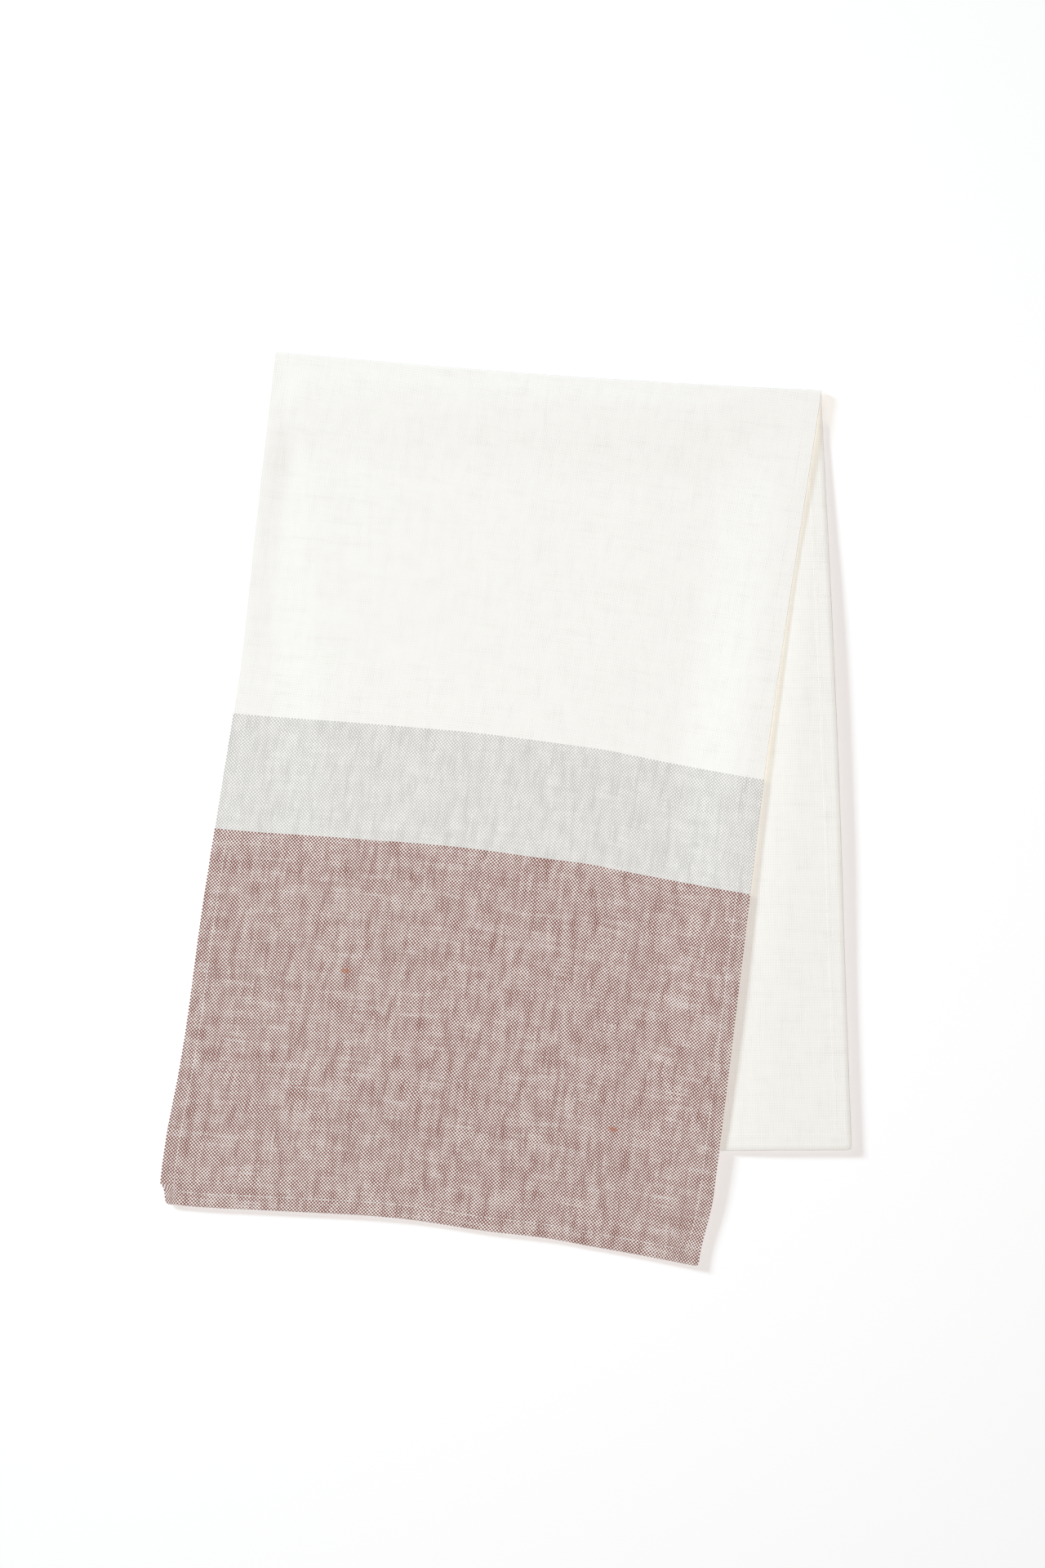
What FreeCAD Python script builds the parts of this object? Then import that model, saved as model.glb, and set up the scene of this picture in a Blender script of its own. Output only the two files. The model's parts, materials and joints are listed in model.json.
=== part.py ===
"""Table runner of plain-woven linen, folded once across its width.

The cloth is white, with a grey and a brown band across one end, and has a narrow double-turned hem
all round. It lies folded in two: the under half on the table, wrong side up, and the upper half on
top of it, right side up, with its banded end reaching past the under half. The two halves lean apart,
because the fold runs slightly askew of the weave.

Each half is drawn flat: X runs across the cloth from its middle line, and Y is minus the distance
from the fold. Its pieces are then turned about the middle of the fold and lifted to their own layer.
In the finished frame +X runs along the fold, +Y from the hemmed ends to the fold and +Z up, and the
origin is on the table, in the middle of the folded cloth's outline. All lengths are millimetres.
"""

import FreeCAD, Part
import os
import Sketcher

doc = FreeCAD.newDocument("table_runner")

# ---- Driving dimensions -------------------------------------------------------------------------

DRIVING = [
    ("cloth_width", 400),  # hemmed side to hemmed side
    ("upper_length", 642),  # fold to hemmed end, down the middle of the upper half
    ("under_length", 584),  # the same on the under half
    ("white_length", 276),  # white cloth between the fold and the grey band
    ("grey_length", 86),  # the grey band; brown fills the rest
    ("upper_lean", 3.4),  # degrees that the upper half leans to the left of square
    ("under_lean", 6.6),  # degrees that the under half leans to the right
    ("cloth_thickness", 0.9),
    ("turned_plies", 2),  # layers that a double-turned hem adds to the cloth
    ("side_hem", 12),
    ("end_hem", 12),
    ("stitch_margin", 2),  # sewn row to the hem's inner edge
    ("thread_width", 0.6),
    ("thread_height", 0.3),
    ("fold_height", 8),  # the fold isn't pressed flat
    ("fold_reach", 24),  # how far in from the fold the cloth comes down to its layer
    ("layer_clearance", 0.3),  # between the two halves, and between the fold and the upper half
]

sizes = doc.addObject("Spreadsheet::Sheet", "Sizes")
for row, (alias, value) in enumerate(DRIVING, start=1):
    sizes.set(f"A{row}", alias)
    sizes.set(f"B{row}", str(value))
    sizes.setAlias(f"B{row}", alias)
doc.recompute()

# ---- Layers, from the table up ------------------------------------------------------------------

TABLE = "0"
CLOTH = "Sizes.cloth_thickness"
HEM_PLIES = f"{CLOTH} * Sizes.turned_plies"
THREAD = "Sizes.thread_height"

UNDER_HEM_LEVEL = CLOTH
UNDER_THREAD_LEVEL = f"({CLOTH} + {HEM_PLIES})"
UPPER_HEM_LEVEL = f"({UNDER_THREAD_LEVEL} + {THREAD} + Sizes.layer_clearance)"
UPPER_CLOTH_LEVEL = f"({UPPER_HEM_LEVEL} + {HEM_PLIES})"
UPPER_THREAD_LEVEL = f"({UPPER_CLOTH_LEVEL} + {CLOTH})"

# ---- Where the fold's middle is, so that the outline is centred on the origin -------------------

HALF_WIDTH = "Sizes.cloth_width / 2"


def reach_sideways(half):
    """How far a half's outer corner lies to its own side of the fold's middle."""
    lean, length = f"Sizes.{half}_lean", f"Sizes.{half}_length"
    return f"({HALF_WIDTH} * cos({lean}) + {length} * sin({lean}))"


def reach_down(half):
    """How far a half's furthest corner lies below the fold."""
    lean, length = f"Sizes.{half}_lean", f"Sizes.{half}_length"
    return f"({HALF_WIDTH} * sin({lean}) + {length} * cos({lean}))"


FOLD_X = f"({reach_sideways('upper')} - {reach_sideways('under')}) / 2"
FOLD_Y = f"max({reach_down('upper')}; {reach_down('under')}) / 2"

# ---- The two halves -----------------------------------------------------------------------------


class Half:
    """One half of the folded cloth: how it is turned about the fold, and how long it is."""

    def __init__(self, name, turn, length, fold_edge):
        self.name = name
        self.turn = turn
        self.length = length
        self.fold_edge = fold_edge
        self.end_hem_start = f"({length} - Sizes.end_hem)"
        self.end_row = f"({length} - Sizes.end_hem + Sizes.stitch_margin)"

    def distance_at_fold(self, x):
        """Distance at which the flat half meets the rounded fold, which runs askew of the half."""
        return f"({self.fold_edge} / cos({self.turn}) + ({x}) * tan({self.turn}))"


UNDER = Half("under", "Sizes.under_lean", "Sizes.under_length", "Sizes.fold_reach")
UPPER = Half(
    "upper",
    "(-Sizes.upper_lean)",
    "Sizes.upper_length",
    "(Sizes.fold_reach + Sizes.layer_clearance)",
)

WHITE_END = "Sizes.white_length"
GREY_END = "(Sizes.white_length + Sizes.grey_length)"

LEFT_EDGE = f"(-{HALF_WIDTH})"
RIGHT_EDGE = f"({HALF_WIDTH})"
LEFT_HEM_EDGE = f"(-{HALF_WIDTH} + Sizes.side_hem)"
RIGHT_HEM_EDGE = f"({HALF_WIDTH} - Sizes.side_hem)"
SIDE_HEMS = {"left": (LEFT_EDGE, LEFT_HEM_EDGE), "right": (RIGHT_HEM_EDGE, RIGHT_EDGE)}

# ---- How a piece is drawn -----------------------------------------------------------------------

ORIGIN = -1  # the sketcher's number for its own axes
START = 1
END = 2
CENTRE = 3

subparts = []


def new_body(label, plane_role):
    """An empty body with a sketch on one of its own origin planes."""
    body = doc.addObject("PartDesign::Body", label)
    body.Label = label
    sketch = body.newObject("Sketcher::SketchObject", f"{label}_outline")
    plane = next(f for f in body.Origin.OriginFeatures if f.Role == plane_role)
    sketch.AttachmentSupport = [(plane, "")]
    sketch.MapMode = "FlatFace"
    subparts.append(body)
    return body, sketch


def point_of(sketch, across, along):
    """Where two expressions put a point of the sketch now."""
    return FreeCAD.Vector(sketch.evalExpression(across), sketch.evalExpression(along), 0)


def pin(sketch, geometry, end, across, along):
    """Binds a point of the sketch to two expressions, measured from the sketch's origin."""
    place = point_of(sketch, across, along)
    for kind, expression, value in (("DistanceX", across, place.x), ("DistanceY", along, place.y)):
        constraint = Sketcher.Constraint(kind, ORIGIN, START, geometry, end, value)
        index = sketch.addConstraint(constraint)
        sketch.setExpression(f"Constraints[{index}]", expression)


def draw_polygon(sketch, corners):
    """A closed outline of straight lines through corners, each an (across, along) pair."""
    points = [point_of(sketch, *corner) for corner in corners]
    for start, end in zip(points, points[1:] + points[:1]):
        sketch.addGeometry(Part.LineSegment(start, end), False)
    for index in range(len(corners)):
        after = (index + 1) % len(corners)
        sketch.addConstraint(Sketcher.Constraint("Coincident", index, END, after, START))
    for index, corner in enumerate(corners):
        pin(sketch, index, START, *corner)


def pad(body, sketch, length):
    feature = body.newObject("PartDesign::Pad", f"{body.Label}_pad")
    feature.Profile = sketch
    feature.setExpression("Length", length)


def place(body, x, level, turn):
    """Puts a piece drawn about the middle of the fold into the finished frame."""
    base = f"vector({FOLD_X} + {x}; {FOLD_Y}; {level})"
    body.setExpression("Placement", f"placement({base}; rotation(vector(0; 0; 1); {turn}))")


def plate(label, half, side, span, level, thickness):
    """A flat piece of a half, between two sides and between two distances from the fold.

    A span that starts at None starts where the half meets the rounded fold.
    """
    left, right = side
    near, far = span
    near_left = near or half.distance_at_fold(left)
    near_right = near or half.distance_at_fold(right)
    body, sketch = new_body(label, "XY_Plane")
    corners = [(left, near_left), (right, near_right), (right, far), (left, far)]
    draw_polygon(sketch, [(x, f"-{distance}") for x, distance in corners])
    pad(body, sketch, thickness)
    place(body, "0", level, half.turn)


def bend(label, outer, inner, left, width):
    """A strip of the fold seen from its end, padded along the fold.

    outer and inner are how far its two faces lie inside the cloth's own outer face. It lies on the
    table, turns up through a half circle, and comes down behind the crest to the upper half.
    """
    behind = "-Sizes.fold_reach"
    radius = "Sizes.fold_height / 2"
    centre_y = f"-{radius}"
    low_line, rounding, high_line, high_end, high_back, inner_rounding, low_back, low_end = range(8)

    def leg_levels(face):
        return f"({face})", f"({UPPER_THREAD_LEVEL} - {face})"

    body, sketch = new_body(label, "YZ_Plane")
    centre = point_of(sketch, centre_y, radius)
    outer_low, outer_high = leg_levels(outer)
    inner_low, inner_high = leg_levels(inner)

    def arc(face):
        size = sketch.evalExpression(f"{radius} - ({face})")
        circle = Part.Circle(centre, FreeCAD.Vector(0, 0, 1), size)
        return Part.ArcOfCircle(circle, -1.5707963, 1.5707963), size

    def line(start, end):
        sketch.addGeometry(Part.LineSegment(start, end), False)

    outer_arc, outer_size = arc(outer)
    inner_arc, inner_size = arc(inner)
    step = FreeCAD.Vector(0, 1, 0)
    outer_foot, outer_top = centre - step * outer_size, centre + step * outer_size
    inner_foot, inner_top = centre - step * inner_size, centre + step * inner_size
    low_outside = point_of(sketch, behind, outer_low)
    low_inside = point_of(sketch, behind, inner_low)
    high_outside = point_of(sketch, behind, outer_high)
    high_inside = point_of(sketch, behind, inner_high)

    line(low_outside, outer_foot)
    sketch.addGeometry(outer_arc, False)
    line(outer_top, high_outside)
    line(high_outside, high_inside)
    line(high_inside, inner_top)
    sketch.addGeometry(inner_arc, False)
    line(inner_foot, low_inside)
    line(low_inside, low_outside)

    joins = [
        (low_line, END, rounding, START),
        (rounding, END, high_line, START),
        (high_line, END, high_end, START),
        (high_end, END, high_back, START),
        (high_back, END, inner_rounding, END),
        (inner_rounding, START, low_back, START),
        (low_back, END, low_end, START),
        (low_end, END, low_line, START),
    ]
    for join in joins:
        sketch.addConstraint(Sketcher.Constraint("Coincident", *join))
    for curve, face in ((rounding, outer), (inner_rounding, inner)):
        size = sketch.evalExpression(f"{radius} - ({face})")
        pin(sketch, curve, CENTRE, centre_y, radius)
        index = sketch.addConstraint(Sketcher.Constraint("Radius", curve, size))
        sketch.setExpression(f"Constraints[{index}]", f"{radius} - ({face})")
        for end in (START, END):
            sketch.addConstraint(Sketcher.Constraint("Vertical", curve, CENTRE, curve, end))
    pin(sketch, low_line, START, behind, outer_low)
    pin(sketch, high_end, START, behind, outer_high)
    pin(sketch, high_end, END, behind, inner_high)
    pin(sketch, low_back, END, behind, inner_low)
    pad(body, sketch, width)
    place(body, left, TABLE, "0")


# ---- Cloth --------------------------------------------------------------------------------------

WHOLE_WIDTH = (LEFT_EDGE, RIGHT_EDGE)

plate("under_white_field", UNDER, WHOLE_WIDTH, (None, UNDER.length), TABLE, CLOTH)
plate("upper_white_field", UPPER, WHOLE_WIDTH, (None, WHITE_END), UPPER_CLOTH_LEVEL, CLOTH)
plate("grey_band", UPPER, WHOLE_WIDTH, (WHITE_END, GREY_END), UPPER_CLOTH_LEVEL, CLOTH)
plate("brown_band", UPPER, WHOLE_WIDTH, (GREY_END, UPPER.length), UPPER_CLOTH_LEVEL, CLOTH)

# ---- The rounded fold, with the side hems carried round inside it -------------------------------

bend("fold", "0", CLOTH, LEFT_EDGE, "Sizes.cloth_width")
bend("fold_left_hem", CLOTH, UNDER_THREAD_LEVEL, LEFT_EDGE, "Sizes.side_hem")
bend("fold_right_hem", CLOTH, UNDER_THREAD_LEVEL, RIGHT_HEM_EDGE, "Sizes.side_hem")

# ---- Hems: the cloth's edges, turned twice onto its wrong side ----------------------------------

# The wrong side faces up on the under half and down on the upper half. A side hem takes the colour
# of the band that it edges, so the upper half's are made band by band.
HEM_STRETCHES = [
    (UNDER, "", UNDER_HEM_LEVEL, (None, UNDER.end_hem_start)),
    (UPPER, "_white", UPPER_HEM_LEVEL, (None, WHITE_END)),
    (UPPER, "_grey", UPPER_HEM_LEVEL, (WHITE_END, GREY_END)),
    (UPPER, "_brown", UPPER_HEM_LEVEL, (GREY_END, UPPER.end_hem_start)),
]
for hand, side in SIDE_HEMS.items():
    for half, colour, level, span in HEM_STRETCHES:
        plate(f"{half.name}_{hand}_hem{colour}", half, side, span, level, HEM_PLIES)

for half, level in ((UNDER, UNDER_HEM_LEVEL), (UPPER, UPPER_HEM_LEVEL)):
    span = (half.end_hem_start, half.length)
    middle = (LEFT_HEM_EDGE, RIGHT_HEM_EDGE)
    plate(f"{half.name}_end_hem", half, middle, span, level, HEM_PLIES)
    for hand, side in SIDE_HEMS.items():
        plate(f"{half.name}_{hand}_corner", half, side, span, level, HEM_PLIES)

# ---- Sewing thread: one row along each hem, near its inner edge ---------------------------------

HALF_THREAD = "Sizes.thread_width / 2"
LEFT_ROW = f"(-{HALF_WIDTH} + Sizes.side_hem - Sizes.stitch_margin)"
RIGHT_ROW = f"({HALF_WIDTH} - Sizes.side_hem + Sizes.stitch_margin)"

for half, level in ((UNDER, UNDER_THREAD_LEVEL), (UPPER, UPPER_THREAD_LEVEL)):
    for hand, row in (("left", LEFT_ROW), ("right", RIGHT_ROW)):
        side = (f"({row} - {HALF_THREAD})", f"({row} + {HALF_THREAD})")
        span = (None, half.end_hem_start)
        plate(f"{half.name}_{hand}_stitching", half, side, span, level, THREAD)
    span = (f"({half.end_row} - {HALF_THREAD})", f"({half.end_row} + {HALF_THREAD})")
    plate(f"{half.name}_end_stitching", half, WHOLE_WIDTH, span, level, THREAD)

# ---- Check and write ----------------------------------------------------------------------------

doc.recompute()
failed = [o.Name for o in doc.Objects if "Invalid" in o.State or "Error" in o.State]
if failed:
    raise RuntimeError(f"these objects did not rebuild: {failed}")
for body in subparts:
    if body.Shape.isNull() or not body.Shape.isValid() or not body.Shape.Solids:
        raise RuntimeError(f"{body.Label} is not a valid solid")

os.makedirs("parts", exist_ok=True)
for body in subparts:
    body.Shape.exportStep(f"parts/{body.Label}.step")
    box = body.Shape.BoundBox
    print(f"{body.Label:24s} {body.Shape.Volume:10.1f} mm3  z {box.ZMin:.2f} to {box.ZMax:.2f}")

whole = Part.makeCompound([body.Shape for body in subparts]).BoundBox
top_face = f"{UPPER_THREAD_LEVEL} + {THREAD}"
fold_x, fold_y, top = (float(sizes.evalExpression(value)) for value in (FOLD_X, FOLD_Y, top_face))
print(f"{len(subparts)} pieces, {whole.XLength:.1f} x {whole.YLength:.1f} x {whole.ZLength:.1f} mm")
print(f"centre of the outline at x {whole.Center.x:.3f}, y {whole.Center.y:.3f}")
# The upper half turns over about a line at half its own height, so it lies flat once unfolded.
print(f"hinge along +X through x {fold_x:.2f}, y {fold_y:.2f}, z {top / 2:.2f}")
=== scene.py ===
import itertools
import json
import math
import random

import bmesh
import bpy
import numpy as np
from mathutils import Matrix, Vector


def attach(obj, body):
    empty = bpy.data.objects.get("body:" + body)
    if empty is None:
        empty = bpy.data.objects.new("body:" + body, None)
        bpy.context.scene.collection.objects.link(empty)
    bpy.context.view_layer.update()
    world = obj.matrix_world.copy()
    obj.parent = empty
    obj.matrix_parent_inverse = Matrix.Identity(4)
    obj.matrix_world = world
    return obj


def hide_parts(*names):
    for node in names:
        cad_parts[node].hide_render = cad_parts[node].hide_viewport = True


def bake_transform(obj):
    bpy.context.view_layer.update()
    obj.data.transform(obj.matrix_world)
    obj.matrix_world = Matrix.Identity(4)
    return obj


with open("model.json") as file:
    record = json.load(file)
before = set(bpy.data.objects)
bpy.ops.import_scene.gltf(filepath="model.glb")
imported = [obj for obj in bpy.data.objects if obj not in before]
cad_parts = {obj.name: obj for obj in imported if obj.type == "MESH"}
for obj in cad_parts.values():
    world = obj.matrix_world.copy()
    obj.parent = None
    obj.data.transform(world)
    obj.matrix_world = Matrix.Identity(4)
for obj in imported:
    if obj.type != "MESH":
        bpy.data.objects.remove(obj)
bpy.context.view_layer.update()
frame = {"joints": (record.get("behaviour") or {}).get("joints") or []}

# The table top, the lamps and the view.
# A plain pale table top under plain studio light: one soft lamp low on the left, a smaller
# one overhead and a faint, even glow all round. The runner is seen straight from above.
TABLE_SIZE = 12.0
VIEW_CENTRE = Vector((-0.0114, 0.0202, 0.0))
VIEW_DISTANCE = 2.751
VIEW_TURN = math.radians(4.07)
VIEW_LENS = 85.0
SIDE_LAMP_BEARING = math.radians(153.5)
SIDE_LAMP_RISE = math.radians(20.5)
SIDE_LAMP_DISTANCE = 6.5
SIDE_LAMP_SIZE = 1.05
SIDE_LAMP_POWER = 338.0
SIDE_LAMP_COLOUR = (0.864, 1.029, 1.111)
OVERHEAD_DISTANCE = 3.0
OVERHEAD_SIZE = 0.5
OVERHEAD_POWER = 61.0
GLOW = 0.12
FILL_COLOUR = (1.044, 0.991, 0.965)
TABLETOP_SHADE = 0.97


def soft_lamp(name, place, size, power, colour):
    lamp = bpy.data.lights.new(name, "AREA")
    lamp.shape = "SQUARE"
    lamp.size = size
    lamp.energy = power
    lamp.color = colour
    holder = bpy.data.objects.new(name, lamp)
    bpy.context.scene.collection.objects.link(holder)
    holder.location = place
    holder.rotation_euler = (-place).to_track_quat("-Z", "Y").to_euler()
    holder.visible_camera = False


soft_lamp(
    "side_lamp",
    SIDE_LAMP_DISTANCE * Vector((
        math.cos(SIDE_LAMP_RISE) * math.cos(SIDE_LAMP_BEARING),
        math.cos(SIDE_LAMP_RISE) * math.sin(SIDE_LAMP_BEARING),
        math.sin(SIDE_LAMP_RISE),
    )),
    SIDE_LAMP_SIZE, SIDE_LAMP_POWER, SIDE_LAMP_COLOUR,
)
soft_lamp(
    "overhead_lamp", Vector((0.0, 0.0, OVERHEAD_DISTANCE)),
    OVERHEAD_SIZE, OVERHEAD_POWER, FILL_COLOUR,
)
surroundings = bpy.data.worlds.new("surroundings")
surroundings.use_nodes = True
surroundings.node_tree.nodes["Background"].inputs["Color"].default_value = (*FILL_COLOUR, 1.0)
surroundings.node_tree.nodes["Background"].inputs["Strength"].default_value = GLOW
bpy.context.scene.world = surroundings

tabletop_bmesh = bmesh.new()
bmesh.ops.create_grid(tabletop_bmesh, x_segments=1, y_segments=1, size=TABLE_SIZE / 2)
tabletop_mesh = bpy.data.meshes.new("tabletop")
tabletop_bmesh.to_mesh(tabletop_mesh)
tabletop_bmesh.free()
tabletop = bpy.data.objects.new("tabletop", tabletop_mesh)
bpy.context.scene.collection.objects.link(tabletop)
pale = bpy.data.materials.new("pale_tabletop")
pale.use_nodes = True
pale_shader = pale.node_tree.nodes["Principled BSDF"]
pale_shader.inputs["Base Color"].default_value = (*(TABLETOP_SHADE,) * 3, 1.0)
pale_shader.inputs["Roughness"].default_value = 0.9
pale_shader.inputs["Specular IOR Level"].default_value = 0.0
tabletop_mesh.materials.append(pale)

view = bpy.data.cameras.new("view")
view.lens = VIEW_LENS
view.sensor_width = 36.0
view.clip_end = 100.0
camera = bpy.data.objects.new("camera", view)
bpy.context.scene.collection.objects.link(camera)
camera.location = VIEW_CENTRE + Vector((0.0, 0.0, VIEW_DISTANCE))
camera.rotation_euler = (0.0, 0.0, VIEW_TURN)
bpy.context.scene.camera = camera
bpy.context.scene.view_settings.view_transform = "Standard"

# The runner is folded and laid.
# Every piece is first made flat, as it was sewn: across the cloth, along it from the crease,
# and in from the right side. It is then folded once and laid on the table, upper half on top.
WIDTH = 0.400
UPPER_LENGTH = 0.642
UNDER_LENGTH = 0.584
UPPER_LEAN = math.radians(3.4)
UNDER_LEAN = math.radians(6.6)
CREASE = Vector(frame["joints"][0]["pos_m"])
CREASE_BOW_SIDES = 0.0012
CREASE_BOW_MIDDLE = -0.0014
CREASE_BOW_SPAN = 0.95
CREASE_BOW_REACH = 0.2
FOLD_TOP = 0.0052
FOLD_FOOT = 0.0001
NOSE_REACH = 0.0018
NOSE_PATH = math.pi / 2 * math.sqrt((NOSE_REACH**2 + (FOLD_TOP / 2) ** 2) / 2)
TAKEN_BY_NOSE = NOSE_PATH - NOSE_REACH
HEM = 0.012
HEM_PLIES = 0.0011
HEM_PRESSED = 0.00010
HEM_THICK_TO = 0.003
WEFT_BOW = (
    (-0.20, 0.00595), (-0.13, 0.00275), (-0.05, 0.00035), (0.035, -0.00205),
    (0.075, -0.00135), (0.12, 0.00235), (0.16, 0.00495), (0.20, 0.00595),
)
WEFT_BOW_REACH = 0.26


def ease(share):
    share = np.clip(share, 0.0, 1.0)
    return share * share * (3.0 - 2.0 * share)


def fading(distance, start, stretch):
    """1 up to start, and from there easing away to 0 over a stretch."""
    return 1.0 - ease((distance - start) / stretch)


def through(points, place):
    """A smooth line through a few (place, value) points, flat beyond the ends."""
    places, values = np.array(points).T
    slopes = np.gradient(values, places)
    place = np.clip(place, places[0], places[-1])
    k = np.clip(np.searchsorted(places, place) - 1, 0, len(places) - 2)
    gap = places[k + 1] - places[k]
    t = (place - places[k]) / gap
    return (
        (2 * t**3 - 3 * t**2 + 1) * values[k] + (t**3 - 2 * t**2 + t) * slopes[k] * gap
        + (3 * t**2 - 2 * t**3) * values[k + 1] + (t**3 - t**2) * slopes[k + 1] * gap
    )


def waver(across, reach, waves, seed):
    """A gentle uneven swell, from about -1 to 1, with so many waves to a metre each way."""
    x, y = across * waves[0], reach * waves[1]
    swell = 0.0
    for k in range(1, 6):
        heading = seed * 1.7 + k * 2.4
        swell += np.sin((x * math.cos(heading) + y * math.sin(heading)) * (3.0 + 1.3 * k) + seed * k)
    return swell / 3.0


def plies(inward):
    """How thick the turned plies are, at a distance in from the edge: thick at the edge and
    pressed thin at their inner edge."""
    pressed = ease((inward - HEM_THICK_TO) / (HEM - HEM_THICK_TO))
    return HEM_PLIES + (HEM_PRESSED - HEM_PLIES) * pressed


class Half:
    """One half of the runner as it lies, with the lean, the side edges and the end it has.
    A point of it is given by how far across the cloth it is and its reach from the fold."""

    def __init__(self, lean, side, length, left, right, end_bow):
        self.lean, self.side, self.length = lean, side, length
        self.left, self.right, self.end_bow = left, right, end_bow

    def reach_of_end(self, across):
        return self.length + self.side * across * math.tan(UPPER_LEAN) - TAKEN_BY_NOSE

    def shaped(self, across, reach, x, y):
        """The half's own bends inside its outline."""
        return x, y

    def plan(self, across, reach):
        """Where the point lies, seen from above."""
        share = reach / self.reach_of_end(across)
        mix = across / WIDTH + 0.5
        x = (1.0 - mix) * through(self.left, reach) + mix * through(self.right, reach)
        slant = -self.side * math.tan(self.lean) * x
        end = self.length - TAKEN_BY_NOSE + through(self.end_bow, across)
        from_middle = np.abs(across) / (CREASE_BOW_SPAN * WIDTH / 2)
        middle = 1.0 - np.minimum(from_middle, 1.0) ** 2
        crease = CREASE_BOW_SIDES + (CREASE_BOW_MIDDLE - CREASE_BOW_SIDES) * middle
        y = (1.0 - share) * slant + share * end - crease * fading(share, 0.0, CREASE_BOW_REACH)
        x, y = self.shaped(across, reach, x, y)
        turn_x, turn_y = math.cos(self.lean), math.sin(self.lean)
        return (
            CREASE.x + x * turn_x - self.side * y * turn_y,
            CREASE.y - self.side * x * turn_y - y * turn_x,
        )


# The upper half's own shape. Each FADE below is the distance at which a rise or a bend starts
# to go, and the stretch over which it goes.
CORNER_STEP = 0.0037
CORNER_STEP_FADE = (0.010, 0.0055)
CORNER_TAPER = 0.0018
CORNER_TAPER_FADE = (0.0, 0.010)
CORNER_FADE = (0.0, 0.014)
RIGHT_DRAWN_IN = 0.0045
RIGHT_DRAWN_FADE = (0.0, 0.040)
RIGHT_DRAWN_FROM = 0.598
RIGHT_DRAWN_OVER = 0.050
ROLL_RISE = 0.0009
ROLL_LOST_AT_SIDES = 0.7
ROLL_REACH = 0.018
FIELD_RISE = 0.0021
COVERING_RISE = 0.0012
COVERING_SIDE_FADE = (-0.025, 0.045)
COVERING_END_FADE = (-0.020, 0.050)
FIELD_RIPPLE = 0.00008
FIELD_WAVES = (9.0, 6.0)
FOLD_FADE = (0.020, 0.060)
LEFT_RISE = (
    (0.0, 0.0052), (0.05, 0.0046), (0.12, 0.0034), (0.20, 0.0025), (0.40, 0.0023),
    (0.55, 0.0027), (0.65, 0.0036),
)
LEFT_FADE = (0.002, 0.024)
RIGHT_RISE = (
    (0.0, 0.0052), (0.05, 0.0053), (0.11, 0.0054), (0.24, 0.0067), (0.36, 0.0067),
    (0.50, 0.0064), (0.57, 0.0056), (0.60, 0.0050), (0.65, 0.0042),
)
RIGHT_FADE = (0.010, 0.060)
END_RISE = 0.0036
END_RIPPLE = 0.00015
END_CURL = 0.0006
END_CURL_FROM = 0.12
END_CURL_OVER = 0.07
END_FADE = (0.012, 0.050)
PUCKER = 0.00003
PUCKER_WAVES = (75.0, 15.0)
PUCKER_FADE = (0.010, 0.012)


class UpperHalf(Half):
    """It lies on the under half, right side up."""

    def shaped(self, across, reach, x, y):
        y += through(WEFT_BOW, across) * ease(reach / WEFT_BOW_REACH)
        from_left, from_right = across + WIDTH / 2, WIDTH / 2 - across
        from_end = self.reach_of_end(across) - reach
        turned_in = (
            CORNER_STEP * fading(from_end, *CORNER_STEP_FADE)
            + CORNER_TAPER * fading(from_end, *CORNER_TAPER_FADE)
        )
        x += turned_in * fading(from_left, *CORNER_FADE)
        drawn_in = RIGHT_DRAWN_IN * ease((reach - RIGHT_DRAWN_FROM) / RIGHT_DRAWN_OVER)
        x -= drawn_in * fading(from_right, *RIGHT_DRAWN_FADE)
        return x, y

    def height(self, across, reach):
        """How high the right side of the cloth lies above the table."""
        from_left, from_right = across + WIDTH / 2, WIDTH / 2 - across
        from_end = self.reach_of_end(across) - reach
        sides = (across / (WIDTH / 2)) ** 2
        crest = FOLD_TOP + ROLL_RISE * (1.0 - ROLL_LOST_AT_SIDES * sides) * ease(reach / ROLL_REACH)
        spread = math.tan(UPPER_LEAN + UNDER_LEAN)
        past_left = reach * spread - across - WIDTH / 2
        past_end = reach - across * spread - UNDER_LENGTH
        covering = fading(past_left, *COVERING_SIDE_FADE) * fading(past_end, *COVERING_END_FADE)
        ripple = FIELD_RIPPLE * waver(across, reach, FIELD_WAVES, 3.7)
        field = FIELD_RISE + COVERING_RISE * covering + ripple
        settled = 1.0 - fading(reach, *FOLD_FADE)
        rise = crest + (field - crest) * settled
        rise += (through(LEFT_RISE, reach) - rise) * fading(from_left, *LEFT_FADE)
        rise += (through(RIGHT_RISE, reach) - rise) * fading(from_right, *RIGHT_FADE)
        curl = END_CURL * ease((across - END_CURL_FROM) / END_CURL_OVER)
        lifted = END_RISE + END_RIPPLE * waver(across, 0.0, FIELD_WAVES, 8.1) + curl
        rise += (lifted - rise) * fading(from_end, *END_FADE)
        pucker = PUCKER * waver(across, reach, PUCKER_WAVES, 1.3)
        return rise + pucker * fading(from_end, *PUCKER_FADE) * settled


# The under half's own shape: it lies flat, and lifts a little where it shows on the right.
UNDER_LIFT = (
    (0.0, 0.0), (0.05, 0.0008), (0.15, 0.0028), (0.32, 0.0036), (0.45, 0.0026), (0.60, 0.0026),
)
LIFTED_SHARE = 0.55
LIFT_PAST_SHOWN = 0.035
UNDER_RIPPLE = 0.00012
UNDER_WAVES = (9.0, 7.0)
UNDER_FOLD_FADE = (0.010, 0.040)


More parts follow.
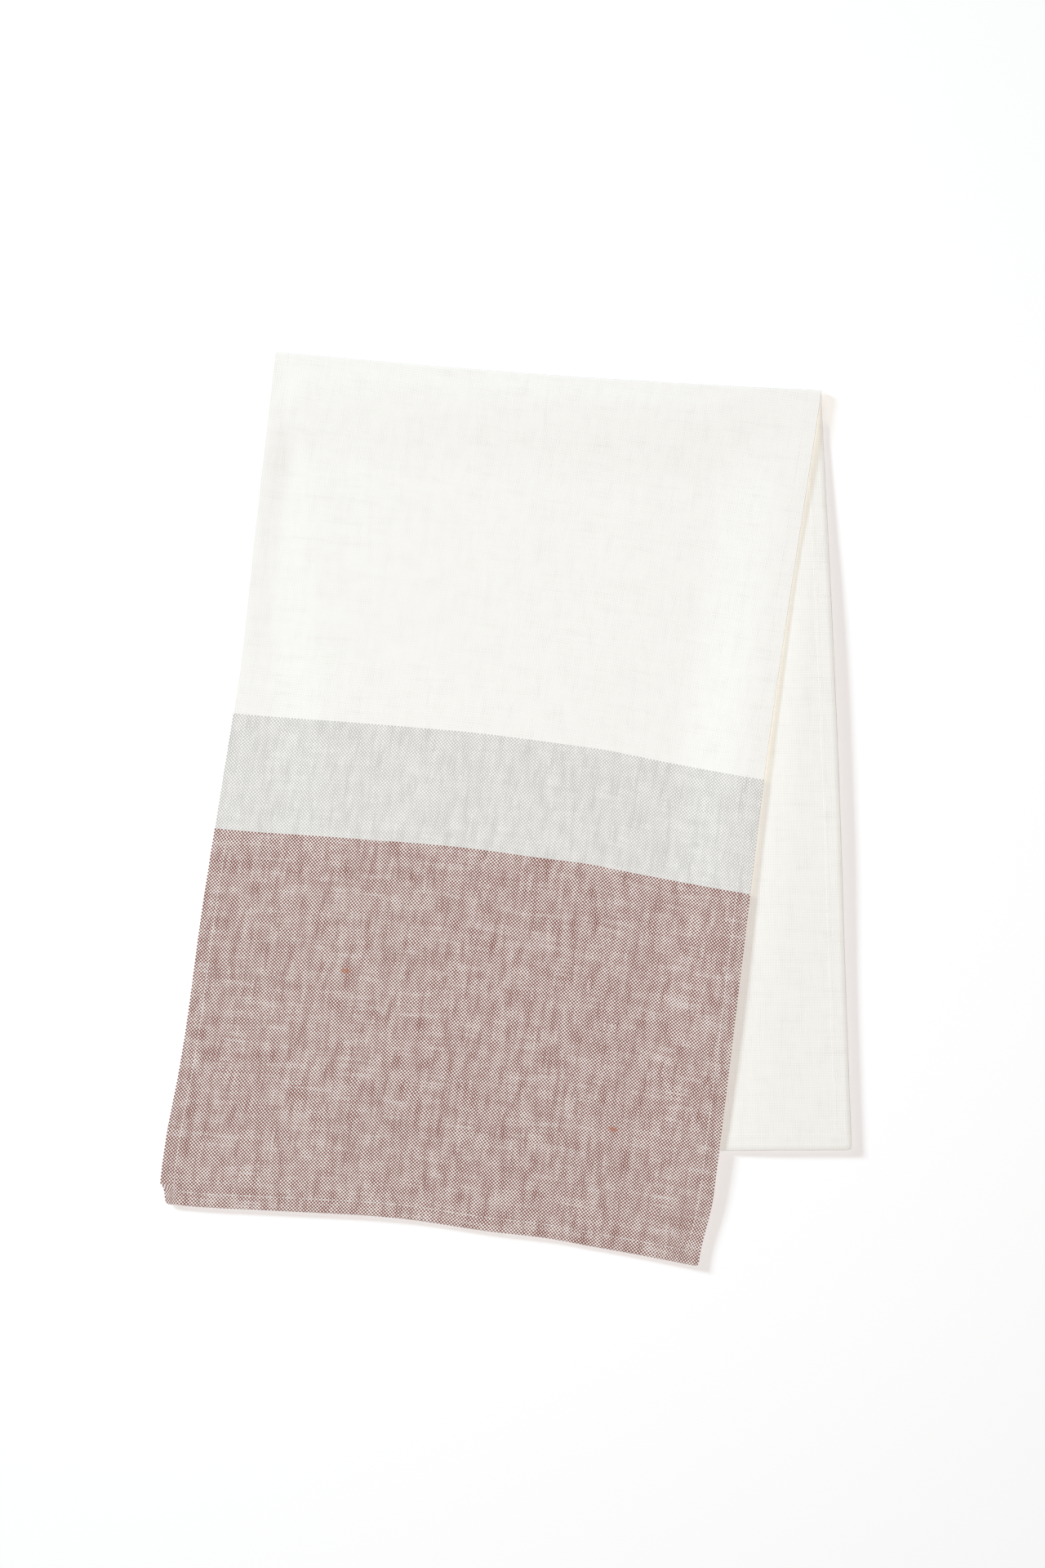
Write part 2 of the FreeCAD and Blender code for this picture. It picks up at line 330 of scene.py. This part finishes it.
class UnderHalf(Half):
    """It lies on the table, right side down."""

    def height(self, across, reach):
        from_right, from_end = WIDTH / 2 - across, self.reach_of_end(across) - reach
        shown = reach * math.tan(UPPER_LEAN + UNDER_LEAN)
        lift = through(UNDER_LIFT, reach) * fading(
            from_right, LIFTED_SHARE * shown, LIFT_PAST_SHOWN + (1.0 - LIFTED_SHARE) * shown
        )
        ripple = UNDER_RIPPLE * (1.0 + waver(across, reach, UNDER_WAVES, 5.5))
        from_edge = np.minimum(WIDTH / 2 - np.abs(across), from_end)
        inner = HEM_PLIES - plies(np.maximum(from_edge, 0.0))
        return FOLD_FOOT + lift + (ripple + inner) * (1.0 - fading(reach, *UNDER_FOLD_FADE))


UPPER = UpperHalf(
    UPPER_LEAN, 1.0, UPPER_LENGTH,
    (
        (0.0, -0.2030), (0.15, -0.2004), (0.225, -0.1985), (0.30, -0.2004),
        (0.41, -0.2032), (0.52, -0.2042), (0.585, -0.2077), (0.65, -0.2067),
    ),
    ((0.0, 0.2030), (0.29, 0.1980), (0.382, 0.1990), (0.60, 0.2010), (0.65, 0.2012)),
    (
        (-0.20, 0.0028), (-0.17, 0.0031), (-0.12, 0.0011), (-0.026, -0.0028),
        (0.038, -0.0003), (0.10, -0.0028), (0.165, -0.0040), (0.20, -0.0028),
    ),
)
UNDER = UnderHalf(
    UNDER_LEAN, -1.0, UNDER_LENGTH,
    ((0.0, -0.2019), (0.30, -0.2005), (0.60, -0.1993)),
    ((0.0, 0.2019), (0.30, 0.2021), (0.45, 0.2004), (0.60, 0.1993)),
    ((-0.20, 0.0040), (0.0, -0.0005), (0.106, 0.0007), (0.20, 0.0042)),
)


def crease_at(across):
    return -across * math.tan(UPPER_LEAN)


def lay(flat):
    """The places on the table of points of the flat runner, given as across, along and rise,
    which is 0 on the right side of the cloth. By the crease the cloth goes round a small nose."""
    across, along, rise = np.array(flat).T
    path = along - crease_at(across)
    turn = math.pi / 2 * np.maximum(0.0, 1.0 - np.abs(path) / NOSE_PATH)
    reach = NOSE_REACH * (1.0 - np.sin(turn)) + np.maximum(0.0, np.abs(path) - NOSE_PATH)
    inner = reach - rise * np.sin(turn)
    laid = []
    for half in (UPPER, UNDER):
        x, y = half.plan(across, inner)
        z = CREASE.z + (half.height(across, reach) - CREASE.z + half.side * rise) * np.cos(turn)
        laid.append(np.stack((x, y, z), axis=1))
    return np.where((path >= 0.0)[:, None], laid[0], laid[1])


# The woven cloth, upper half: white field, grey band and brown band.
# One linen cloth in plain weave with slubby yarns. The warp is white all the way; the weft
# changes from white to grey and then to brown. Each stretch of colour is a piece here.
UPPER_END = UPPER_LENGTH
WHITE_END = 0.276
GREY_END = WHITE_END + 0.086
YARNS_ACROSS = 320
YARNS_IN_GREY = 69
WARP_PITCH = WIDTH / YARNS_ACROSS
WEFT_PITCH = (GREY_END - WHITE_END) / YARNS_IN_GREY
WEFT_SHARE = 0.56
SLUB_MEAN = 0.02
CLOTH_THICKNESS = 0.0006
EDGE_ROUND = 0.0003
CORNER_RADIUS = 0.0022
FOLD_REACH = 0.0255
CLOTH_STEP = 0.0030
ROW_BUNCHING = 0.085
SHARP_FROM = math.radians(50.0)
WHITE_YARN = (0.880, 0.869, 0.835)
GREY_YARN = (0.560, 0.552, 0.532)
BROWN_YARN = (0.215, 0.066, 0.050)
# The white warp of the brown band is given a brownish colour: painted bounce light from the brown weft
# around it.
WARP_WITH_PAINTED_BOUNCE = (0.850, 0.812, 0.778)
WHITE_KNOT = (0.850, 0.838, 0.800)
GREY_KNOT = (0.620, 0.610, 0.585)
RUSTY_KNOT = (0.400, 0.130, 0.060)
# Painted shade for the hollows between the yarns.
PAINTED_HOLLOW_SHADE = (0.80, 0.78, 0.77)


class Wire:
    """A value inside a material. Sums on it add Math nodes."""

    def __init__(self, tree, socket):
        self.tree, self.socket = tree, socket

    def add(self, kind, settings=(), inputs=(), output=0):
        node = self.tree.nodes.new(kind)
        for name, value in settings:
            setattr(node, name, value)
        for place, value in inputs:
            if isinstance(value, Wire):
                self.tree.links.new(value.socket, node.inputs[place])
            else:
                node.inputs[place].default_value = value
        return Wire(self.tree, node.outputs[output])

    def math(self, operation, *others):
        values = list(enumerate((self, *others)))
        return self.add("ShaderNodeMath", [("operation", operation)], values)

    def __add__(self, other):
        return self.math("ADD", other)

    def __sub__(self, other):
        return self.math("SUBTRACT", other)

    def __rsub__(self, other):
        return (self * -1.0) + other

    def __mul__(self, other):
        return self.math("MULTIPLY", other)

    def __truediv__(self, other):
        return self.math("DIVIDE", other)

    __radd__ = __add__
    __rmul__ = __mul__

    def step(self, low, high):
        """0 below low, 1 above high and smooth between."""
        return self.add(
            "ShaderNodeMapRange", [("interpolation_type", "SMOOTHSTEP")],
            [(0, self), (1, low), (2, high)],
        )

    def noise(self, place, scale, detail=1.0):
        return self.add(
            "ShaderNodeTexNoise", [("noise_dimensions", "2D")],
            [("Vector", place), ("Scale", scale), ("Detail", detail)],
        )

    def place(self, x, y):
        return self.add("ShaderNodeCombineXYZ", [], [(0, x), (1, y)])

    def blend_colours(self, *colours):
        """The first colour where this value is 0, and the second where it is 1."""
        ends = [colour if isinstance(colour, Wire) else (*colour, 1.0) for colour in colours]
        return self.add(
            "ShaderNodeMix", [("data_type", "RGBA")], [(0, self), (6, ends[0]), (7, ends[1])], output=2
        )


def linen(name, warp_colour, weft_colour, knot_colour, warp_share, uneven, let_through):
    """Plain weave of slubby yarns. warp_share is how much of its pitch a warp yarn fills,
    uneven how strongly the yarns' swelling shows, and let_through the share of the lamps'
    light that passes between the yarns."""
    material = bpy.data.materials.new(name)
    material.use_nodes = True
    tree = material.node_tree
    shader = tree.nodes["Principled BSDF"]
    cloth = Wire(tree, None)
    flat = cloth.add("ShaderNodeUVMap", [("uv_map", "cloth")])
    axes = cloth.add("ShaderNodeSeparateXYZ", [], [(0, flat)])
    across, along = axes, Wire(tree, axes.socket.node.outputs[1])

    # Which two yarns cross here, and which of them goes over.
    drift = cloth.noise(flat, 45.0) - 0.5
    warp = across / WARP_PITCH + drift * 0.9
    weft = (along - WHITE_END) / WEFT_PITCH + drift * -0.9
    warp_number, weft_number = warp.math("FLOOR"), weft.math("FLOOR")
    in_warp, in_weft = warp - warp_number - 0.5, weft - weft_number - 0.5
    over = 1.0 - (warp_number + weft_number).math("FLOORED_MODULO", 2.0) * 2.0

    def own(number, seed):
        """A number of its own for each yarn, so that neighbours differ."""
        return cloth.add(
            "ShaderNodeTexWhiteNoise", [("noise_dimensions", "1D")], [("W", number + seed)]
        ) * 60.0

    # Each yarn swells, thins and slubs on its own, and streaks run over several yarns.
    warp_swell = cloth.noise(cloth.place(own(warp_number, 0.3), along * 45.0), 1.0) - 0.5
    warp_slub = cloth.noise(cloth.place(own(warp_number, 4.1), along * 70.0), 1.0).step(0.60, 0.80)
    weft_swell = cloth.noise(cloth.place(across * 34.0, own(weft_number, 7.3)), 1.0) - 0.5
    warp_streak = cloth.noise(cloth.place(across * 3.2, along), 48.0, 2.0) - 0.5
    weft_streak = cloth.noise(cloth.place(across, along * 3.2), 40.0, 2.0) - 0.5
    warp_width = warp_swell * 0.28 + warp_slub * 0.24 + warp_streak * 0.42 + (warp_share - SLUB_MEAN)
    weft_width = weft_swell * 0.62 + weft_streak * 0.42 + WEFT_SHARE

    # Each yarn is a rounded ridge that rises over the other, and the higher one shows.
    warp_dip = (in_warp / warp_width).math("POWER", 2.0)
    weft_dip = (in_weft / weft_width).math("POWER", 2.0)
    warp_top = over * (in_weft * math.pi).math("COSINE") - warp_dip
    weft_top = over * -1.0 * (in_warp * math.pi).math("COSINE") - weft_dip
    lean = ((warp_width - warp_share) * 1.6 - (weft_width - WEFT_SHARE) * 1.4) * uneven
    warp_shows = (warp_top - weft_top + lean).step(-0.60, 0.60)
    top = warp_top.math("MAXIMUM", weft_top)
    # Painted shade: the lower a point lies among the yarns, the darker its colour, so the hollows
    # between yarns are shaded in the colour.
    shade = top.step(-0.9, 0.35).blend_colours(PAINTED_HOLLOW_SHADE, (1.0, 1.0, 1.0))

    # A few knots of darker or rusty fibre.
    knots = cloth.add(
        "ShaderNodeTexVoronoi", [("voronoi_dimensions", "2D")],
        [("Vector", cloth.place(across * 0.5, along)), ("Scale", 7.0)],
    ).step(0.018, 0.007) * 0.60
    yarn = knots.blend_colours(warp_shows.blend_colours(weft_colour, warp_colour), knot_colour)
    shaded = cloth.add(
        "ShaderNodeMix", [("data_type", "RGBA"), ("blend_type", "MULTIPLY")],
        [(0, 1.0), (6, yarn), (7, shade)], output=2,
    )
    tree.links.new(shaded.socket, shader.inputs["Base Color"])
    bump = cloth.add(
        "ShaderNodeBump", [], [("Strength", 1.0), ("Distance", 0.000025), ("Height", top)]
    )
    tree.links.new(bump.socket, shader.inputs["Normal"])
    shader.inputs["Roughness"].default_value = 0.85
    shader.inputs["Specular IOR Level"].default_value = 0.15

    # The openings between the yarns let some of the lamps' light through.
    lamp_ray = cloth.add("ShaderNodeLightPath", [], [], output=1)
    openings = cloth.add("ShaderNodeBsdfTransparent", [], [("Color", (*let_through, 1.0))])
    surface = cloth.add(
        "ShaderNodeMixShader", [],
        [(0, lamp_ray), (1, Wire(tree, shader.outputs[0])), (2, openings)],
    )
    output = next(node for node in tree.nodes if node.type == "OUTPUT_MATERIAL")
    tree.links.new(surface.socket, output.inputs["Surface"])
    return material


WHITE_LINEN = linen(
    "white_linen", WHITE_YARN, WHITE_YARN, WHITE_KNOT, 0.46, 1.0, (0.84, 0.81, 0.73)
)
GREY_LINEN = linen(
    "grey_linen", WHITE_YARN, GREY_YARN, GREY_KNOT, 0.44, 1.5, (0.74, 0.72, 0.68)
)
# Its warp colour holds painted bounce light from the brown weft.
BROWN_LINEN = linen(
    "brown_linen", WARP_WITH_PAINTED_BOUNCE, BROWN_YARN, RUSTY_KNOT, 0.43, 1.0, (0.50, 0.44, 0.42)
)


def finished(name, shape, material):
    """Turns the flat, sewn shape into the piece as it lies, with the weave's own map on it.
    Laying mirrors the shape, so its faces are turned to point outwards again."""
    weave = shape.loops.layers.uv.new("cloth")
    for face in shape.faces:
        face.smooth = True
        for loop in face.loops:
            loop[weave].uv = loop.vert.co.xy
    for vert, place in zip(shape.verts, lay([vert.co[:] for vert in shape.verts])):
        vert.co = place
    bmesh.ops.reverse_faces(shape, faces=shape.faces)
    mesh = bpy.data.meshes.new(name)
    shape.to_mesh(mesh)
    shape.free()
    mesh.set_sharp_from_angle(angle=SHARP_FROM)
    mesh.materials.append(material)
    piece = bpy.data.objects.new(name, mesh)
    bpy.context.scene.collection.objects.link(piece)
    return piece


def rounded_corner(from_side, from_end):
    """Moves a point near a corner of the cloth so that the corner is round in plan."""
    past_side, past_end = CORNER_RADIUS - from_side, CORNER_RADIUS - from_end
    if past_side <= 0.0 or past_end <= 0.0:
        return from_side, from_end
    pull = max(past_side, past_end) / math.hypot(past_side, past_end)
    return CORNER_RADIUS - past_side * pull, CORNER_RADIUS - past_end * pull


def bunched(share):
    """Spreads the mesh's rows so that they are closer near both ends."""
    return share - ROW_BUNCHING * math.sin(2.0 * math.pi * share)


def rows_in(length, step=CLOTH_STEP):
    """An even number of mesh rows, each about one step long."""
    return 2 * round(length / step / 2)


def panel(name, material, near, far, end=None, step=CLOTH_STEP, rows_at=bunched):
    """A stretch of the single cloth from side to side; end is the half's sewn end."""
    shape = bmesh.new()
    columns = round(WIDTH / CLOTH_STEP)
    rows = rows_in(abs(far(0.0) - near(0.0)), step)
    bmesh.ops.create_grid(shape, x_segments=columns, y_segments=rows, size=0.5)
    half_width = WIDTH / 2 - EDGE_ROUND
    for vert in shape.verts:
        across = (2.0 * bunched(vert.co.x + 0.5) - 1.0) * half_width
        start, stop = near(across), far(across)
        along = start + (stop - start) * rows_at(vert.co.y + 0.5)
        if end is not None:
            side, tip = rounded_corner(WIDTH / 2 - abs(across), abs(end - along))
            across = math.copysign(WIDTH / 2 - side, across)
            along = end - math.copysign(tip, end)
        vert.co = (across, along, 0.0)
    top = list(shape.faces)
    bottom = bmesh.ops.duplicate(shape, geom=top)["geom"]
    bmesh.ops.translate(
        shape, verts=[part for part in bottom if isinstance(part, bmesh.types.BMVert)],
        vec=(0.0, 0.0, -CLOTH_THICKNESS),
    )
    rims = [edge for edge in shape.edges if edge.is_boundary]
    bmesh.ops.bridge_loops(shape, edges=rims)
    bmesh.ops.recalc_face_normals(shape, faces=shape.faces)
    return finished(name, shape, material)


def level(place):
    return lambda across: place


def along_crease(reach):
    return lambda across: crease_at(across) + reach


white_upper = panel("white_cloth_upper", WHITE_LINEN, along_crease(FOLD_REACH), level(WHITE_END))
grey_upper = panel("grey_cloth_band", GREY_LINEN, level(WHITE_END), level(GREY_END))
brown_upper = panel(
    "brown_cloth_band", BROWN_LINEN, level(GREY_END), level(UPPER_END - EDGE_ROUND), UPPER_END
)
for piece, node, slot in (
    (white_upper, "upper_white_field", "white_cloth"),
    (grey_upper, "grey_band", "grey_cloth"),
    (brown_upper, "brown_band", "brown_cloth"),
):
    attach(piece, "upper_half")
    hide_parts(node)

# The woven cloth, under half: plain white to the end.
# The same cloth, wrong side up, flat on the table, with the upper half's three stretches lying
# on it.
UNDER_END = -UNDER_LENGTH
# The under half's yarn is a little darker than the upper half's white.
UNDER_YARN = (0.873, 0.860, 0.821)
UNDER_LINEN = linen(
    "white_linen_under", UNDER_YARN, UNDER_YARN, WHITE_KNOT, 0.46, 1.0, (0.20, 0.19, 0.17)
)
white_under = panel(
    "white_cloth_under", UNDER_LINEN, along_crease(-FOLD_REACH), level(UNDER_END + EDGE_ROUND),
    UNDER_END,
)
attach(white_under, "under_half")
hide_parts("under_white_field")

# The fold.
# The same cloth bent round over the crease, plumper than the flat layers because the runner is folded
# by hand and not pressed. It is attached to neither half.
FOLD_STEP = 0.0011
ROW_GATHERING = 0.130


def gathered(share):
    """Spreads the mesh's rows so that they are closer in the middle, as round the fold."""
    return share + ROW_GATHERING * math.sin(2.0 * math.pi * share)


def belongs(piece, body, node):
    """Moves a piece with the half it is sewn to, or bakes its place into its mesh if it has none, and
    hides the part it replaces.
    """
    if body:
        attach(piece, body)
    else:
        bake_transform(piece)
    if node:
        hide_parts(node)


white_fold = panel(
    "white_cloth_fold", WHITE_LINEN, along_crease(-FOLD_REACH), along_crease(FOLD_REACH),
    step=FOLD_STEP, rows_at=gathered,
)
belongs(white_fold, None, "fold")

# The hems.
# Each edge of the cloth is turned twice onto the wrong side and sewn down, so the edge is a
# round fold and the turned plies reach 12 mm in from it. The ends are turned after the sides.
TURN_STEPS = 4
PLY_STEPS = 5
PLIES_FROM = 0.002


def hem_section():
    """Points of the turned plies in section, as (in from the edge, rise), once round."""
    outer = (CLOTH_THICKNESS + HEM_PLIES) / 2
    points = []
    for k in range(2 * TURN_STEPS + 1):
        angle = math.pi / 2 * (1.0 - k / TURN_STEPS)
        points.append((EDGE_ROUND * (1.0 - math.cos(angle)), outer * (math.sin(angle) - 1.0)))
    for k in range(1, PLY_STEPS + 1):
        inward = PLIES_FROM + (HEM - PLIES_FROM) * k / PLY_STEPS
        points.append((inward, -CLOTH_THICKNESS - plies(inward)))
    points.append((HEM, -CLOTH_THICKNESS))
    points.append((EDGE_ROUND, -CLOTH_THICKNESS))
    return [(float(inward), float(rise)) for inward, rise in points]


SECTION = hem_section()


def evenly(share):
    return share


def hem(name, material, rows, place, rows_at=evenly):
    """The turned plies along one edge; place gives (across, along) from (in, step)."""
    shape = bmesh.new()
    bmesh.ops.create_grid(shape, x_segments=len(SECTION), y_segments=rows, size=0.5)
    for vert in shape.verts:
        inward, rise = SECTION[round((vert.co.x + 0.5) * len(SECTION)) % len(SECTION)]
        across, along = place(inward, rows_at(vert.co.y + 0.5))
        vert.co = (across, along, rise)
    bmesh.ops.remove_doubles(shape, verts=shape.verts, dist=1e-6)
    bmesh.ops.holes_fill(shape, edges=shape.edges, sides=0)
    bmesh.ops.recalc_face_normals(shape, faces=shape.faces)
    return finished(name, shape, material)


def along_side(side, near, far):
    def place(inward, step):
        across = side * (WIDTH / 2 - inward)
        return across, near(across) + (far(across) - near(across)) * step
    return place


def along_end(end):
    def place(inward, step):
        across = (2.0 * step - 1.0) * (WIDTH / 2 - HEM)
        return across, end - math.copysign(inward, end)
    return place


def round_corner(side, end):
    def place(inward, step):
        from_side = inward + max(0.0, 2.0 * step - 1.0) * (HEM - inward)
        from_end = inward + max(0.0, 1.0 - 2.0 * step) * (HEM - inward)
        from_side, from_end = rounded_corner(from_side, from_end)
        return side * (WIDTH / 2 - from_side), end - math.copysign(from_end, end)
    return place


SIDES = ((-1.0, "left"), (1.0, "right"))
ENDS = (
    ("upper", BROWN_LINEN, "brown_cloth", UPPER_END),
    ("under", UNDER_LINEN, "white_cloth", UNDER_END),
)
for side, word in SIDES:
    for name, material, slot, body, near, far, node in (
        ("hem_upper_{}_white", WHITE_LINEN, "white_cloth", "upper_half",
         along_crease(FOLD_REACH), level(WHITE_END), "upper_{}_hem_white"),
        ("hem_upper_{}_grey", GREY_LINEN, "grey_cloth", "upper_half",
         level(WHITE_END), level(GREY_END), "upper_{}_hem_grey"),
        ("hem_upper_{}_brown", BROWN_LINEN, "brown_cloth", "upper_half",
         level(GREY_END), level(UPPER_END - HEM), "upper_{}_hem_brown"),
        ("hem_under_{}", UNDER_LINEN, "white_cloth", "under_half",
         level(UNDER_END + HEM), along_crease(-FOLD_REACH), "under_{}_hem"),
    ):
        rows = rows_in(far(0.0) - near(0.0))
        piece = hem(name.format(word), material, rows, along_side(side, near, far))
        belongs(piece, body, node.format(word))
    piece = hem(
        f"hem_fold_{word}", WHITE_LINEN, rows_in(2 * FOLD_REACH, FOLD_STEP),
        along_side(side, along_crease(-FOLD_REACH), along_crease(FOLD_REACH)), gathered,
    )
    belongs(piece, None, f"fold_{word}_hem")
    for half, material, slot, end in ENDS:
        piece = hem(f"corner_{half}_{word}", material, rows_in(2 * HEM), round_corner(side, end))
        belongs(piece, f"{half}_half", f"{half}_{word}_corner")
for half, material, slot, end in ENDS:
    piece = hem(f"hem_{half}_end", material, rows_in(WIDTH - 2 * HEM), along_end(end))
    belongs(piece, f"{half}_half", f"{half}_end_hem")

# The stitching.
# One row of white sewing thread holds each hem, 2 mm in from its inner edge. It shows as
# short stitches on both sides of the cloth.
STITCH_IN = 0.010
STITCH_PITCH = 0.0030
STITCH_LENGTH = 0.0022
STITCH_STRAY = 0.06
THREAD_WIDTH = 0.00045
THREAD_RISE = 0.00010
THREAD_COLOUR = (0.84, 0.83, 0.80)
THREAD_PAINTED_HOLLOW_SHADE = 0.86
THREAD_TWIST = 900.0
random.seed(20)

thread = bpy.data.materials.new("white_thread")
thread.use_nodes = True
thread_shader = thread.node_tree.nodes["Principled BSDF"]
thread_wire = Wire(thread.node_tree, None)
# The thread's colour is darker in the grooves of its twist: painted shade.
twist = thread_wire.add(
    "ShaderNodeTexWave", [("bands_direction", "DIAGONAL")],
    [
        ("Vector", thread_wire.add("ShaderNodeTexCoord", output=3)),
        ("Scale", THREAD_TWIST), ("Distortion", 1.0),
    ],
    output=1,
)
thread_colour = twist.blend_colours([THREAD_PAINTED_HOLLOW_SHADE * part for part in THREAD_COLOUR], THREAD_COLOUR)
thread.node_tree.links.new(thread_colour.socket, thread_shader.inputs["Base Color"])
thread_shader.inputs["Roughness"].default_value = 0.6

# Each stitch is a small bead drawn out along its row.
bead_shape = bmesh.new()
bmesh.ops.create_uvsphere(bead_shape, u_segments=6, v_segments=4, radius=0.5)
bead = bpy.data.meshes.new("stitch")
bead_shape.to_mesh(bead)
bead_shape.free()


def stitches(name, body, node, start, stop):
    """A row of stitches between two points of the flat runner, on both its sides."""
    row = Vector(stop) - Vector(start)
    count = int(row.length / STITCH_PITCH)
    bearing = math.atan2(row.y, row.x)
    shape = bmesh.new()
    for _ in range(2 * count):
        shape.from_mesh(bead)
    bead_points = iter(shape.verts)
    for k in range(count):
        middle = Vector(start) + row * ((k + 0.5) / count)
        turned = bearing + random.uniform(-STITCH_STRAY, STITCH_STRAY)
        for depth in (0.0, CLOTH_THICKNESS + plies(STITCH_IN)):
            for vert in itertools.islice(bead_points, len(bead.vertices)):
                x = vert.co.z * STITCH_LENGTH
                y = vert.co.x * THREAD_WIDTH
                vert.co = (
                    middle.x + x * math.cos(turned) - y * math.sin(turned),
                    middle.y + x * math.sin(turned) + y * math.cos(turned),
                    2.0 * vert.co.y * THREAD_RISE - depth,
                )
    belongs(finished(name, shape, thread), body, node)


row_x = WIDTH / 2 - STITCH_IN
for side, word in SIDES:
    x = side * row_x
    fold_near, fold_far = crease_at(x) - FOLD_REACH, crease_at(x) + FOLD_REACH
    stitches(f"stitches_upper_{word}", "upper_half", f"upper_{word}_stitching",
             (x, fold_far), (x, UPPER_END - STITCH_IN))
    stitches(f"stitches_under_{word}", "under_half", f"under_{word}_stitching",
             (x, fold_near), (x, UNDER_END + STITCH_IN))
    stitches(f"stitches_fold_{word}", None, None, (x, fold_near), (x, fold_far))
stitches("stitches_upper_end", "upper_half", "upper_end_stitching",
         (-row_x, UPPER_END - STITCH_IN), (row_x, UPPER_END - STITCH_IN))
stitches("stitches_under_end", "under_half", "under_end_stitching",
         (-row_x, UNDER_END + STITCH_IN), (row_x, UNDER_END + STITCH_IN))
bpy.data.meshes.remove(bead)
